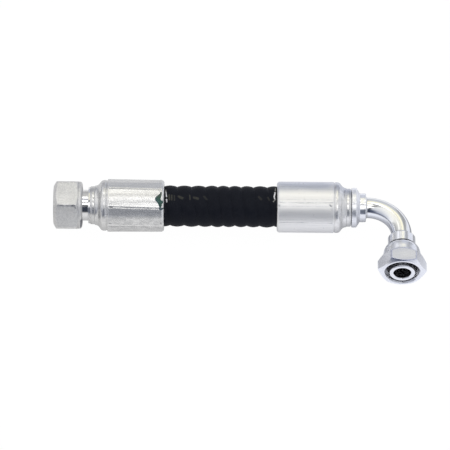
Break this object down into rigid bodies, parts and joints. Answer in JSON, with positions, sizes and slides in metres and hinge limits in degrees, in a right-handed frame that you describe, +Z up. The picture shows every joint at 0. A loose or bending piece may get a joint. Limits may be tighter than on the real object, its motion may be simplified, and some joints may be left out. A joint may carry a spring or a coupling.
{
  "type": "hydraulic hose assembly",
  "caption": "Short four-spiral hydraulic hose with crimped ferrules, a straight swivel-nut end and a 90 degree tube-elbow swivel-nut end, both sealing on a 24 degree cone with an O-ring.",
  "frame": {"origin": "on the surface that the assembly lies on, under the middle of its bounding box", "axes": "+X along the hose from the straight end to the elbow end, -Y the way the elbow's outlet points, +Z up"},
  "size_m": [0.236, 0.068, 0.033],
  "materials": {
    "satin_zinc": "satin zinc plating",
    "cast_zinc": "matt zinc plating on a forged nut",
    "bright_zinc": "bright zinc plating on turned steel",
    "spring_wire": "brassed spring wire",
    "hose_rubber": "matt moulded rubber",
    "cover_rubber": "wrapped rubber cover, slightly glossy",
    "seal_rubber": "smooth nitrile rubber"
  },
  "bodies": {
    "hose_assembly": {"hose_liner": "hose_rubber", "wire_spiral_1": "spring_wire", "rubber_layer_1": "hose_rubber", "wire_spiral_2": "spring_wire", "rubber_layer_2": "hose_rubber", "wire_spiral_3": "spring_wire", "rubber_layer_3": "hose_rubber", "wire_spiral_4": "spring_wire", "hose_cover": "cover_rubber", "ferrule_left": "satin_zinc", "ferrule_right": "satin_zinc", "stem_left": "bright_zinc", "o_ring_left": "seal_rubber", "stem_right": "bright_zinc", "braze_ring_inlet": "bright_zinc", "elbow_tube": "bright_zinc", "braze_ring_outlet": "bright_zinc", "cone_nipple_right": "bright_zinc", "o_ring_right": "seal_rubber"},
    "straight_end_nut": {"swivel_nut_left": "cast_zinc"},
    "elbow_end_nut": {"swivel_nut_right": "bright_zinc"}
  },
  "joints": [
    {"name": "straight_nut_spin", "type": "hinge", "parent": "hose_assembly", "child": "straight_end_nut", "pos_m": [-0.10883, 0.0168, 0.0165], "axis": [1, 0, 0], "continuous": true},
    {"name": "elbow_nut_spin", "type": "hinge", "parent": "hose_assembly", "child": "elbow_end_nut", "pos_m": [0.10242, -0.02411, 0.0165], "axis": [0, 1, 0], "continuous": true}
  ]
}
